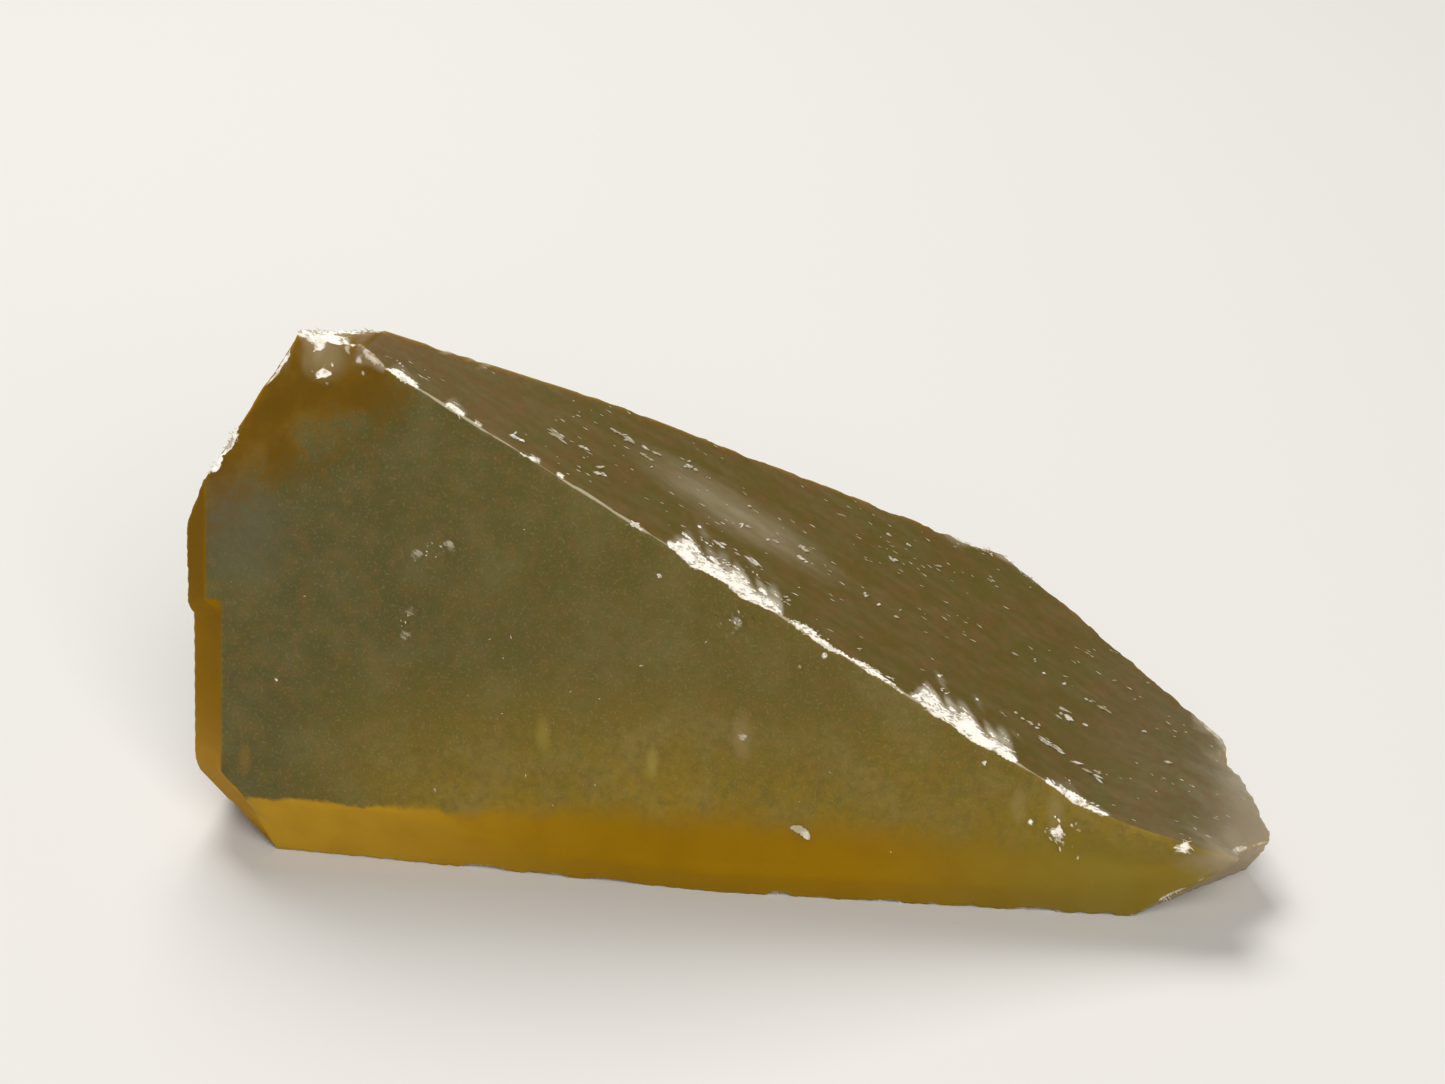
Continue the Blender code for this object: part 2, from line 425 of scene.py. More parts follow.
# White crust and pale rubbed lines on the other edges.
CRUSTS = (
    # one face, other face, from X to X, reach over each, how white, how hazy
    (SHOULDER, APEX, -24.6, -21.0, 0.45, 1.2, 1.15, 0.5),
    (BACK_APEX, APEX, -24.4, -19.8, 0.3, 0.8, 1.0, 0.3),
    (SHOULDER_END, SHOULDER, -25.2, -24.2, 0.3, 0.3, 1.0, 0.1),
    (SHOULDER_END, SHOULDER, -28.0, -27.0, 0.4, 0.45, 1.1, 0.0),
    (SHOULDER_END, SHOULDER, -28.6, -27.9, 0.5, 0.5, 1.2, 0.0),
    (TOP, SHOULDER, -20.3, -18.5, 0.15, 0.5, 0.70, 0.4),
    (BACK, TOP, -18.2, -13.6, 0.2, 0.7, 0.75, 1.0),
    (BACK, TOP, -12.0, -6.5, 0.1, 0.15, 0.75, 0.0),
    (BACK, TOP, -4.0, 1.0, 0.1, 0.12, 0.7, 0.0),
    (BACK, TOP, 10.2, 13.4, 0.4, 0.4, 0.95, 0.5),
    (BACK_RIGHT, TOP, 12.6, 16.4, 0.4, 0.4, 0.95, 0.5),
    (BACK_RIGHT, TOP, 18.0, 24.0, 0.1, 0.15, 0.7, 0.0),
    (BACK_RIGHT, TOP, 25.4, 28.0, 0.2, 0.5, 0.7, 0.4),
    (TIP_END, TOP, 27.0, 31.0, 0.3, 0.5, 0.60, 0.7),
    (TIP_LIP, TOP, 26.5, 30.6, 0.3, 0.3, 0.60, 0.3),
    (TIP_LIP, UNDERCUTS[1], 22.6, 28.0, 0.3, 0.1, 0.62, 0.0),
    (BASE, TIP_LIP, 22.0, 28.0, 0.1, 0.4, 0.65, 0.0),
    (BASE, UNDERCUTS[0], -24.5, -12.0, 0.1, 0.12, 0.62, 0.0),
    (BASE, UNDERCUTS[0], -13.0, 0.0, 0.1, 0.13, 0.62, 0.0),
    (BASE, UNDERCUTS[1], -1.0, 12.0, 0.1, 0.14, 0.66, 0.0),
    (BASE, UNDERCUTS[1], 10.0, 23.0, 0.1, 0.16, 0.68, 0.0),
    (LEFT_END, LEFT_BEVEL, -31.0, -29.0, 0.1, 0.1, 0.7, 0.0),
)
for row in CRUSTS:
    crust(*row)
BRUISE_DEPTH = 0.16  # part of the radius
for face, x, z, radius, whiteness in ((face, *row) for face in BRUISES_AND_GLINT for row in BRUISES_AND_GLINT[face]):
    gap = np.linalg.norm(points - on_face(face, x, z), axis=1)
    spot = np.flatnonzero(gap < 2.0 * radius)
    ragged = gap[spot] * (1.0 + 0.7 * rough(points[spot], 0.35, shift=2.0))
    white = whiteness * (1.0 - blend(0.2 * radius, 1.3 * radius, ragged))
    crush[spot] = np.maximum(crush[spot], white)
    dent = BRUISE_DEPTH * radius * (1.0 - blend(0.0, 1.2 * radius, ragged))
    points[spot] -= np.outer(dent, normals[face])

# Small nicks along the other edges that show: two faces, from X to X, how many, how white.
EDGE_NICKS = (
    (TOP, BACK, -16.5, 12.0, 12, 0.7),
    (TOP, BACK_RIGHT, 13.0, 28.0, 8, 0.7),
    (FRONT, TOP, -18.0, 21.0, 18, 0.8),
    (UNDERCUTS[0], BASE, -24.0, -2.0, 14, 0.85),
    (UNDERCUTS[1], BASE, -1.0, 21.0, 16, 0.8),
    (SHOULDER, SHOULDER_END, -28.3, -24.5, 6, 0.8),
    (TIP_LIP, UNDERCUTS[1], 22.0, 27.6, 18, 0.8),
    (TOP, TIP_LIP, 26.6, 30.0, 16, 0.75),
    (TIP_LIP, BASE, 22.0, 27.0, 12, 0.5),
    (APEX, BACK_APEX, -23.5, -20.0, 4, 1.0),
    (SHOULDER, APEX, -23.0, -20.4, 4, 1.0),
)
for one, other, start, end, count, whiteness in EDGE_NICKS:
    run, out = edge_between(one, other)
    for x in dice.uniform(start, end, count):
        depth = 0.04 + 0.26 * dice.random() ** 3
        length = depth * dice.uniform(4.0, 12.0)
        scoop(on_edge(one, other, x), run, out, length, depth * 4.0, depth, whiteness)

# Larger bruises of the rims: (one face, other face, place along X, length, width, depth, white).
RIM_BREAKS = (
    (TOP, BACK, -16.2, 3.0, 1.6, 0.16, 0.6),
    (TOP, BACK, -8.0, 2.0, 1.0, 0.12, 0.5),
    (TOP, BACK, 12.2, 2.6, 1.6, 0.24, 0.7),
    (TOP, BACK_RIGHT, 15.0, 2.4, 1.6, 0.22, 0.7),
    (TOP, TIP_END, 27.9, 1.8, 2.0, 0.70, 0.4),
    (TOP, TIP_END, 29.7, 1.4, 1.0, 0.24, 0.4),
    (TIP_LIP, TIP_END, 30.2, 1.6, 1.6, 0.30, 0.5),
    (TOP, TIP_LIP, 28.6, 2.0, 0.9, 0.24, 0.5),
    (TIP_LIP, UNDERCUTS[1], 25.4, 2.2, 1.0, 0.24, 0.5),
    (SHOULDER, SHOULDER_END, -27.7, 1.6, 1.4, 0.30, 1.0),
    (APEX, BACK_APEX, -21.6, 1.4, 1.0, 0.08, 0.8),
    (UNDERCUTS[0], BASE, -6.0, 3.0, 1.0, 0.20, 0.5),
    (TIP_LIP, BASE, 24.0, 3.0, 1.0, 0.30, 0.4),
)
for one, other, x, length, width, depth, whiteness in RIM_BREAKS:
    run, out = edge_between(one, other)
    scoop(on_edge(one, other, x), run, out, length, width, depth, whiteness)
    for _ in range(5):
        place = on_edge(one, other, x + dice.uniform(-0.3, 0.3) * length)
        scoop(place, run, out, 0.3 * length, 0.4 * width, depth * 0.7, whiteness)

# Shell-shaped breaks on the shoulder and the back, with nothing crushed in them.
SHELL_BREAKS = (
    # face, place along X and Z, length, width, depth in mm
    (SHOULDER, -22.1, 28.1, 3.0, 2.6, 0.30),
    (SHOULDER, -24.6, 25.4, 6.0, 3.0, 0.22),
    (SHOULDER, -20.4, 27.9, 2.2, 1.8, 0.20),
    (BACK, -9.0, 15.0, 9.0, 7.0, 0.6),
    (BACK, -14.0, 20.0, 6.0, 5.0, 0.4),
    (BACK, 3.0, 7.0, 8.0, 4.0, 0.4),
    (BACK_RIGHT, 20.5, 4.8, 5.0, 4.0, 0.4),
)
for face, x, z, length, width, depth in SHELL_BREAKS:
    along = unit(np.cross(normals[face], (0.0, 0.0, 1.0)))
    scoop(on_face(face, x, z), along, normals[face], length, width, depth, 0.0)

# The tip itself is a little fuller than the flat faces leave it.
TIP_SWELL = 0.32  # part of the height
TIP_JUT = 1.5  # mm


def swollen(places):
    """Swells places in mm near the tip: the front rises a little, and its corner juts out."""
    x, y, z = places.T
    rise = TIP_SWELL * blend(19.0, 30.0, x) * (1.0 - blend(-6.0, 0.0, y)) * z
    corner = blend(21.0, 26.5, x) * (1.0 - blend(-11.8, -9.3, y)) * blend(0.3, 2.4, z)
    return places + np.stack((TIP_JUT * corner, np.zeros_like(y), rise + 0.2 * corner), axis=1)


points[:, 2] = np.clip(points[:, 2], 0.0, None)
points = swollen(points)


def in_scene(name, data):
    """Puts a mesh, light or camera in the scene as an object."""
    made = bpy.data.objects.new(name, data)
    bpy.context.scene.collection.objects.link(made)
    return made


def mesh_piece(name, places, faces):
    """Object with a mesh of its own, given in metres."""
    mesh = bpy.data.meshes.new(name)
    mesh.from_pydata(places, [], faces)
    return in_scene(name, mesh)


crystal = mesh_piece("crystal_body", points * MM, triangles)
body = crystal.data
body.validate()


def note(name, values):
    """Stores one number for each point or triangle of the crystal, for its material to read."""
    domain = "POINT" if len(values) == len(points) else "FACE"
    stored = body.attributes.new(name, "FLOAT", domain)
    stored.data.foreach_set("value", values.astype(np.float32))


on_ridge = np.isin(first, (FRONT, TOP)) & np.isin(second, (FRONT, TOP))
note("crushed", crush)
note("haze", haze)
note("ridge_gap", np.where(on_ridge, edge_gap, 5.0))
note("break_gap", above[:, FRONT] - above[:, SHOULDER])
note("under_gap", above[:, FRONT] - above[:, list(UNDERCUTS)].max(axis=1))
narrow = np.isin(triangle_face, (LEFT_BEVEL, LEFT_END, SHOULDER_END))
strip = blend(0.0, 0.10, split_off)
strip[np.unique(np.array(triangles)[narrow])] = 1.0
note("strip", strip)
note("heel", np.isin(triangle_face, HEELS))
under_tip = above[:, [TIP_LIP, TIP_END]].max(axis=1)
before_tip = above[:, [FRONT, UNDERCUTS[1]]].max(axis=1)
lip = blend(0.5, 1.4, under_tip - before_tip + 0.5 * rough(points, 0.8, shift=4.0))
note("tip_lip", lip * (under_tip > above[:, TOP] - 0.05))
note("top_face", triangle_face == TOP)
note("front_face", triangle_face == FRONT)

# The faces are not true planes: they are gently wavy and finely ribbed along the ridge, where
# the crystal split and dissolved a little.  The crushed chips are hackly.


def join(tree, kind, settings=None, **inputs):
    """Adds a node and returns its outputs.

    Each input is a value or the output to link to it.  It goes by its name with _ for spaces, or
    by i and its number.
    """
    made = tree.nodes.new(kind)
    for name, value in (settings or {}).items():
        setattr(made, name, value)
    for name, value in inputs.items():
        by_number = name[0] == "i" and name[1:].isdigit()
        socket = made.inputs[int(name[1:]) if by_number else name.replace("_", " ")]
        if isinstance(value, bpy.types.NodeSocket):
            tree.links.new(value, socket)
        else:
            socket.default_value = value
    return made.outputs


def reckon(tree, operation, *values):
    """Result of a Math node."""
    numbered = {f"i{number}": value for number, value in enumerate(values)}
    return join(tree, "ShaderNodeMath", {"operation": operation}, **numbered)[0]


def noise_of(tree, places, scale, detail, roughness=0.5):
    """Noise from about 0 to 1 at places."""
    sizes = {"Scale": scale, "Detail": detail, "Roughness": roughness}
    return join(tree, "ShaderNodeTexNoise", Vector=places, **sizes)[0]


def turned_to_ridge(tree, places, turn):
    """Places turned so that the ridge runs along X."""
    settings = {"rotation_type": "EULER_XYZ"}
    return join(tree, "ShaderNodeVectorRotate", settings, Vector=places, Rotation=turn)[0]


def stored_number(tree, name):
    """A number stored on the mesh, read in geometry nodes."""
    return join(tree, "GeometryNodeInputNamedAttribute", {"data_type": "FLOAT"}, Name=name)[0]


def geometry_tree(name, inputs):
    """Starts geometry nodes with named inputs; returns the tree and its inputs' outputs."""
    tree = bpy.data.node_groups.new(name, "GeometryNodeTree")
    for label, kind in (("Geometry", "Geometry"), *inputs, ("Material", "Material")):
        tree.interface.new_socket(label, in_out="INPUT", socket_type="NodeSocket" + kind)
    tree.interface.new_socket("Geometry", in_out="OUTPUT", socket_type="NodeSocketGeometry")
    return tree, tree.nodes.new("NodeGroupInput").outputs


def dress(tree, geometry, material):
    """Ends geometry nodes with plain geometry that wears the material."""
    real = join(tree, "GeometryNodeRealizeInstances", Geometry=geometry)[0]
    dressed = join(tree, "GeometryNodeSetMaterial", Geometry=real, Material=material)[0]
    join(tree, "NodeGroupOutput", Geometry=dressed)


def skin_tree():
    """Geometry nodes that give a mesh its waves, ribs and hackle, along its own normals."""
    depths = [(name, "Float") for name in ("Wave", "Rib", "Hackle", "Etch")]
    tree, start = geometry_tree("crystal_skin", (*depths, ("Ridge Turn", "Vector")))
    place = join(tree, "GeometryNodeInputPosition")[0]
    place = join(tree, "ShaderNodeVectorMath", {"operation": "SCALE"}, i0=place, Scale=1 / MM)[0]
    turned = turned_to_ridge(tree, place, start["Ridge Turn"])

    def layer(vector, stretch, scale, detail, depth, mask=None):
        """Height of one noise layer, in mm, times a mask."""
        if stretch:
            settings = {"operation": "MULTIPLY"}
            vector = join(tree, "ShaderNodeVectorMath", settings, i0=vector, i1=stretch)[0]
        height = reckon(tree, "SUBTRACT", noise_of(tree, vector, scale, detail, 0.6), 0.5)
        height = reckon(tree, "MULTIPLY", height, depth)
        return reckon(tree, "MULTIPLY", height, mask) if mask else height

    top, crushed = (stored_number(tree, name) for name in ("top_face", "crushed"))
    total = layer(place, None, 0.16, 2.0, start["Wave"])
    for height in (
        layer(turned, (0.22, 1.0, 1.0), 1.6, 4.0, start["Rib"], top),
        layer(place, None, 0.9, 5.0, start["Etch"]),
        layer(turned, (0.5, 1.0, 1.0), 3.2, 3.0, start["Hackle"], crushed),
    ):
        total = reckon(tree, "ADD", total, height)
    total = reckon(tree, "MULTIPLY", total, MM)
    normal = join(tree, "GeometryNodeInputNormal")[0]
    shift = join(tree, "ShaderNodeVectorMath", {"operation": "SCALE"}, i0=normal, Scale=total)[0]
    moved = join(tree, "GeometryNodeSetPosition", Geometry=start["Geometry"], Offset=shift)[0]
    dress(tree, moved, start["Material"])
    return tree


def grow(thing, tree, **values):
    """Runs geometry nodes on an object, each input set by its identifier, and keeps the mesh."""
    modifier = thing.modifiers.new(tree.name, "NODES")
    modifier.node_group = tree
    for item in tree.interface.items_tree:
        if item.in_out == "INPUT" and item.name != "Geometry":
            modifier[item.identifier] = values[item.name.replace(" ", "_")]
    bpy.context.view_layer.update()
    result = thing.evaluated_get(bpy.context.evaluated_depsgraph_get())
    mesh = bpy.data.meshes.new_from_object(result)
    mesh.name = thing.name
    thing.modifiers.clear()
    thing.data = mesh


def srgb(*parts):
    """Linear colour for an sRGB one, given as red, green and blue up to 255."""
    parts = [part / 255.0 for part in parts]
    parts = [p / 12.92 if p <= 0.04045 else ((p + 0.055) / 1.055) ** 2.4 for p in parts]
    return (*parts, 1.0)


def new_material(name):
    """Starts a material; returns it with its nodes and its surface shader."""
    material = bpy.data.materials.new(name)
    material.use_nodes = True
    return material, material.node_tree, material.node_tree.nodes["Principled BSDF"]


def places_in_mm(tree):
    """Places on a piece, in mm."""
    place = join(tree, "ShaderNodeTexCoord")["Object"]
    return join(tree, "ShaderNodeMapping", Vector=place, Scale=(1 / MM,) * 3)[0]


def mix(tree, factor, one, other):
    """Mixes two colours."""
    settings = {"data_type": "RGBA"}
    return join(tree, "ShaderNodeMix", settings, Factor=factor, i6=one, i7=other)[2]


def smooth_step(tree, value, low, high):
    """Smooth step of a value, from 0 at low to 1 at high."""
    settings = {"interpolation_type": "SMOOTHSTEP"}
    return join(tree, "ShaderNodeMapRange", settings, Value=value, From_Min=low, From_Max=high)[0]


def shader_group(name, inputs, outputs):
    """Starts a shader node group with named sockets; returns it with its ends."""
    tree = bpy.data.node_groups.new(name, "ShaderNodeTree")
    tree.interface.new_socket("Vector", in_out="INPUT", socket_type="NodeSocketVector")
    for label, value in inputs.items():
        socket = tree.interface.new_socket(label, in_out="INPUT", socket_type="NodeSocketFloat")
        socket.default_value = value
    for label in outputs:
        tree.interface.new_socket(label, in_out="OUTPUT", socket_type="NodeSocketFloat")
    return tree, tree.nodes.new("NodeGroupInput").outputs, tree.nodes.new("NodeGroupOutput").inputs


def cloud_group():
    """Soft cloudy veils: a value from 0 to 1 that drifts over the surface."""
    sizes = {"Scale": 0.3, "Detail": 3.0, "Low": 0.35, "High": 0.65}
    tree, ins, outs = shader_group("cloudy_veils", sizes, ("Value",))
    cloud = noise_of(tree, ins["Vector"], ins["Scale"], ins["Detail"])
    tree.links.new(smooth_step(tree, cloud, ins["Low"], ins["High"]), outs["Value"])
    return tree


def bruise_group():
    """Crushed stone: patchy whiteness and its fine sugary height."""
    sizes = {"Amount": 1.0, "Scale": 2.5}
    tree, ins, outs = shader_group("crushed_stone", sizes, ("Mask", "Height"))
    sugar = noise_of(tree, ins["Vector"], ins["Scale"], 5.0, 0.7)
    reach = reckon(tree, "ADD", sugar, ins["Amount"])
    tree.links.new(smooth_step(tree, reach, 1.0, 1.35), outs["Mask"])
    tree.links.new(sugar, outs["Height"])
    return tree


veils = cloud_group()
crushed_stone = bruise_group()


def placed(tree, group, places, **sizes):
    """Puts a shader node group in a material."""
    return join(tree, "ShaderNodeGroup", {"node_tree": group}, Vector=places, **sizes)


def emboss(tree, surface, strength, depth, height):
    """Gives a surface a fine bump."""
    bump = join(tree, "ShaderNodeBump", Strength=strength, Distance=depth, Height=height)[0]
    tree.links.new(bump, surface.inputs["Normal"])


def honey_calcite():
    """Material of the crystal: frosted olive-brown skin over clear amber stone."""
    material, tree, surface = new_material("honey_calcite")
    where = places_in_mm(tree)
    x, _, z = join(tree, "ShaderNodeSeparateXYZ", Vector=where)
    turned = turned_to_ridge(tree, where, tuple(ridge_turn))
    streaked = join(tree, "ShaderNodeMapping", Vector=turned, Scale=(STREAK, 1.0, 1.0))[0]
    tall = join(tree, "ShaderNodeMapping", Vector=where, Scale=(1.0, 1.0, UPRIGHT))[0]

    def stored(name):
        """Reads a number stored on the mesh."""
        return join(tree, "ShaderNodeAttribute", {"attribute_name": name})["Fac"]

    def reach(value, low, high):
        """Smooth step of a value."""
        return smooth_step(tree, value, low, high)

    def sum_of(one, other, gain=1.0):
        """One value times a gain, plus another."""
        return reckon(tree, "MULTIPLY_ADD", one, gain, other)

    def times(one, other):
        """Product of two values."""
        return reckon(tree, "MULTIPLY", one, other)

    def tinted(colour, *layers):
        """Lays tints over a colour: where each lies, how strongly it shows there, the tint."""
        for mask, strength, tint in layers:
            colour = mix(tree, times(mask, strength), colour, tint)
        return colour

    def cloud(scale, detail, low, high, places=where):
        """Soft cloudy veils of one size."""
        sizes = {"Scale": scale, "Detail": detail, "Low": low, "High": high}
        return placed(tree, veils, places, **sizes)["Value"]

    def near(places, centre, far, close):
        """Soft spot around a point: 1 closer than close, 0 beyond far."""
        settings = {"operation": "DISTANCE"}
        gap = join(tree, "ShaderNodeVectorMath", settings, i0=places, i1=centre)["Value"]
        return reach(gap, far, close)

    broad = cloud(0.10, 2.0, 0.35, 0.65)
    patch = cloud(0.35, 4.0, 0.4, 0.7)
    hue = cloud(1.2, 5.0, 0.42, 0.68)
    fine = cloud(2.2, 5.0, 0.35, 0.75)
    speck = cloud(7.0, 3.0, 0.5, 0.8)
    streak = cloud(1.4, 5.0, 0.4, 0.7, streaked)

    # Front: greyer and darker high on the left, a painted shade of a gentle bend that the flat face
    # lacks; warmer low on the right, with faint upright veils.
    front = tinted(
        mix(tree, reach(x, -26.0, 8.0), FROST_GREY_SHADE, FROST_OLIVE),
        (reach(z, 14.0, 5.0), reach(x, -27.0, -12.0), FROST_WARM),
        (broad, 0.3, FROST_DEEP),
        (patch, 0.2, FROST_PALE),
        (hue, 0.38, FROST_RUST),
        (fine, 0.45, FROST_GREEN),
        (speck, 0.4, FROST_PALE),
    )
    for place, far, strength, tint in PALE_MARKS:
        mark = near(tall, (place[0], place[1], UPRIGHT * place[2]), far, 0.1)
        front = tinted(front, (mark, strength, tint))
    # Foot: a painted glow of the light that gathers in the clear amber low on the front, bright
    # on the left and olive near the tip.  The undercut gets a brighter copy, painted light against
    # its shade.
    amber_glow = tinted(
        mix(tree, reach(x, -24.0, -4.0), GLOW_BRIGHT, GLOW_DEEP),
        (patch, 0.3, AMBER_BROWN),
        (reach(x, 6.0, 24.0), 1.0, GLOW_OLIVE),
    )
    under_glow = tinted(
        mix(tree, reach(x, -24.0, -4.0), UNDER_GLOW_BRIGHT, UNDER_GLOW_DEEP),
        (reach(x, 6.0, 22.0), 1.0, UNDER_GLOW_OLIVE),
        (patch, 0.25, AMBER_BROWN),
    )
    amber_glow = mix(tree, reach(stored("under_gap"), 0.8, -0.6), amber_glow, under_glow)
    wobble = sum_of(fine, sum_of(patch, z, 0.4), 0.15)
    softer = reach(x, -20.0, 0.0)
    glow_band = reach(wobble, sum_of(softer, 4.45, 2.1), sum_of(softer, 4.10, -0.3))
    front = mix(tree, glow_band, front, amber_glow)
    # Top: brown satin, with a painted sheen: a soft pale patch where the light reflects.
    sheen_spot = Vector(SHEEN_SPOT)
    sheen_spot.rotate(ridge_turn)
    sheen_spot.x *= STREAK
    top = tinted(
        mix(tree, reach(x, -20.0, -4.0), TOP_LEFT, TOP_RIGHT),
        (reach(x, 16.0, 28.0), 1.0, TOP_FAR),
        (hue, 0.5, TOP_RUST),
        (patch, 0.45, TOP_GREEN),
        (streak, 0.12, TOP_HAZE_AND_SHEEN),
        (fine, 0.3, TOP_DEEP),
        (near(streaked, sheen_spot, 2.7, 0.2), sum_of(streak, 0.6, 0.3), TOP_HAZE_AND_SHEEN),
    )
    # Broken shoulder: clear brown stone, with a pale veil under the crest.
    inside = mix(tree, patch, BREAK_BROWN, BREAK_GOLD)
    inside = tinted(inside, (near(where, CREST, 1.9, 0.3), 0.8, BREAK_PALE))
    into_break = reach(sum_of(fine, sum_of(patch, stored("break_gap"), 0.9), 0.5), 1.5, 0.1)
    # Left end: clear amber stone.  Low on it and in the heel, the painted glow of the foot; the
    # heel turns darker again towards the floor.
    strip = tinted(
        mix(tree, reach(z, 17.0, 12.0), STRIP_BROWN, STRIP_AMBER),
        (patch, 0.4, AMBER_BROWN),
        (reach(z, 10.0, 4.0), 1.0, HEEL_GLOW),
    )
    heel = tinted(HEEL_GLOW, (patch, 0.3, STRIP_AMBER), (reach(z, 2.4, 0.0), 1.0, STRIP_AMBER))
    # All of them, with a blue bloom under the shoulder and a pale grey tip over a tan lip.
    tip = reach(sum_of(patch, x, 1.5), 25.6, 29.6)
    colour = tinted(
        mix(tree, stored("top_face"), front, top),
        (into_break, reach(stored("top_face"), 1.0, 0.0), inside),
        (near(where, BLOOM, 4.2, 1.2), sum_of(fine, 0.4, 0.4), FROST_BLUE),
        (stored("strip"), 1.0, strip),
        (stored("heel"), 1.0, heel),
        (stored("haze"), sum_of(streak, 0.5, 0.5), VEIL_WHITE),
        (tip, sum_of(stored("front_face"), 0.85, -0.7), TIP_GREY),
        (stored("tip_lip"), 0.85, TIP_LIP_TAN),
    )
    # Crushed white along the chips, with the painted highlight of the shoulder's glint, and a fine
    # white line where the ridge is rubbed.
    bruise = placed(tree, crushed_stone, streaked, Amount=stored("crushed"), Scale=3.4)
    rub = reach(sum_of(streak, stored("ridge_gap"), 0.10), 0.15, 0.05)
    rub = times(rub, reach(x, 22.0, 17.0))
    white = reckon(tree, "MAXIMUM", bruise["Mask"], times(rub, 0.7))
    chalk = mix(tree, reach(stored("crushed"), 1.0, 0.55), CRUSHED_WHITE, CRUSHED_GREY)
    tree.links.new(mix(tree, white, colour, chalk), surface.inputs["Base Color"])

    # Gloss: the clear stone is glassy, the frosted skin is satin and the left end is matt.
    satin, glassy, sugary, matt = ((part, part, part, 1.0) for part in (0.5, 0.28, 0.6, 0.85))
    shine = tinted(
        satin,
        (reckon(tree, "MAXIMUM", into_break, glow_band), 1.0, glassy),
        (white, 1.0, satin),
        (fine, 0.4, sugary),
        (reckon(tree, "MAXIMUM", stored("strip"), stored("heel")), 1.0, matt),
    )
    tree.links.new(shine, surface.inputs["Roughness"])
    grain = noise_of(tree, where, 6.0, 4.0, 0.65)
    height = sum_of(times(bruise["Height"], bruise["Mask"]), grain, 2.0)
    emboss(tree, surface, 0.25, 0.06 * MM, height)
    for name, value in (
        ("IOR", 1.5),
        ("Specular IOR Level", 0.08),
        ("Subsurface Weight", 0.3),
        ("Subsurface Radius", (1.0, 0.6, 0.15)),
        ("Subsurface Scale", 3.0 * MM),
    ):
        surface.inputs[name].default_value = value
    return material


SHARP_EDGE = 24.0  # degrees: steeper edges look sharp
STREAK = 0.3  # patterns are drawn out by this along the ridge
UPRIGHT = 0.35  # and the pale marks of the front by this along Z
# centre of the painted sheen on the top
SHEEN_SPOT = (-0.3, -2.6, 19.1)  # mm, as are the next two
CREST = (-22.2, -5.9, 28.5)
BLOOM = (-26.8, -9.4, 19.2)
# painted shade of the front's left part
FROST_GREY_SHADE = srgb(78, 73, 42)
FROST_OLIVE = srgb(98, 84, 36)
FROST_WARM = srgb(130, 106, 26)
FROST_DEEP = srgb(80, 72, 32)
FROST_PALE = srgb(128, 118, 82)
FROST_BLUE = srgb(88, 85, 65)
FROST_GREEN = srgb(80, 82, 32)
FROST_RUST = srgb(108, 83, 40)
PALE_MARKS = (
    # place, size in mm, strength, colour: a few faint upright veils in the steep face
    ((-9.6, -11.1, 8.9), 0.60, 0.6, srgb(134, 116, 50)),
    ((-3.5, -11.3, 7.8), 0.50, 0.6, srgb(136, 124, 62)),
    ((-26.4, -11.6, 6.3), 0.50, 0.5, srgb(124, 96, 40)),
    ((1.4, -10.9, 9.6), 0.80, 0.4, srgb(140, 120, 82)),
    ((18.5, -11.5, 6.8), 0.70, 0.5, srgb(134, 120, 74)),
    ((16.5, -11.5, 6.9), 0.60, 0.4, srgb(134, 120, 74)),
)
# painted glow of the foot band, from here to the olive amber (the brown is the stone's own)
GLOW_BRIGHT = srgb(158, 122, 30)
GLOW_DEEP = srgb(132, 98, 0)
AMBER_BROWN = srgb(118, 84, 0)
GLOW_OLIVE = srgb(110, 97, 30)
BREAK_BROWN = srgb(98, 72, 14)
BREAK_GOLD = srgb(116, 88, 22)
BREAK_PALE = srgb(142, 126, 90)
STRIP_AMBER = srgb(134, 98, 0)
STRIP_BROWN = srgb(116, 84, 0)
# brighter copies of the foot's painted glow, against the shade of the undercut
UNDER_GLOW_BRIGHT = srgb(168, 130, 30)
UNDER_GLOW_DEEP = srgb(138, 103, 0)
UNDER_GLOW_OLIVE = srgb(124, 106, 34)
# the painted glow of the foot, in the heel and low on the left end
HEEL_GLOW = srgb(160, 120, 34)
TOP_LEFT = srgb(99, 82, 50)
TOP_RIGHT = srgb(88, 74, 32)
TOP_FAR = srgb(97, 87, 60)
TOP_DEEP = srgb(76, 66, 26)
TOP_RUST = srgb(104, 74, 44)
TOP_GREEN = srgb(80, 79, 34)
# pale streaks of the top, and its painted sheen
TOP_HAZE_AND_SHEEN = srgb(130, 119, 94)
TIP_GREY = srgb(142, 130, 108)
TIP_LIP_TAN = srgb(150, 130, 94)
VEIL_WHITE = srgb(178, 170, 152)
CRUSHED_WHITE = srgb(234, 230, 222)
CRUSHED_GREY = srgb(176, 168, 146)
ridge_turn = Vector(ridge_run).rotation_difference(Vector((1.0, 0.0, 0.0))).to_euler()
stone = honey_calcite()
grow(
    crystal,
    skin_tree(),
    Wave=0.06,
    Rib=0.03,
    Hackle=0.3,
    Etch=0.015,
    Ridge_Turn=ridge_turn,
    Material=stone,
)
for point in crystal.data.vertices:
    point.co.z = max(point.co.z, 0.0)
crystal.data.shade_smooth()
crystal.data.set_sharp_from_angle(angle=math.radians(SHARP_EDGE))
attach(crystal, "root")
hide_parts("calcite_crystal")
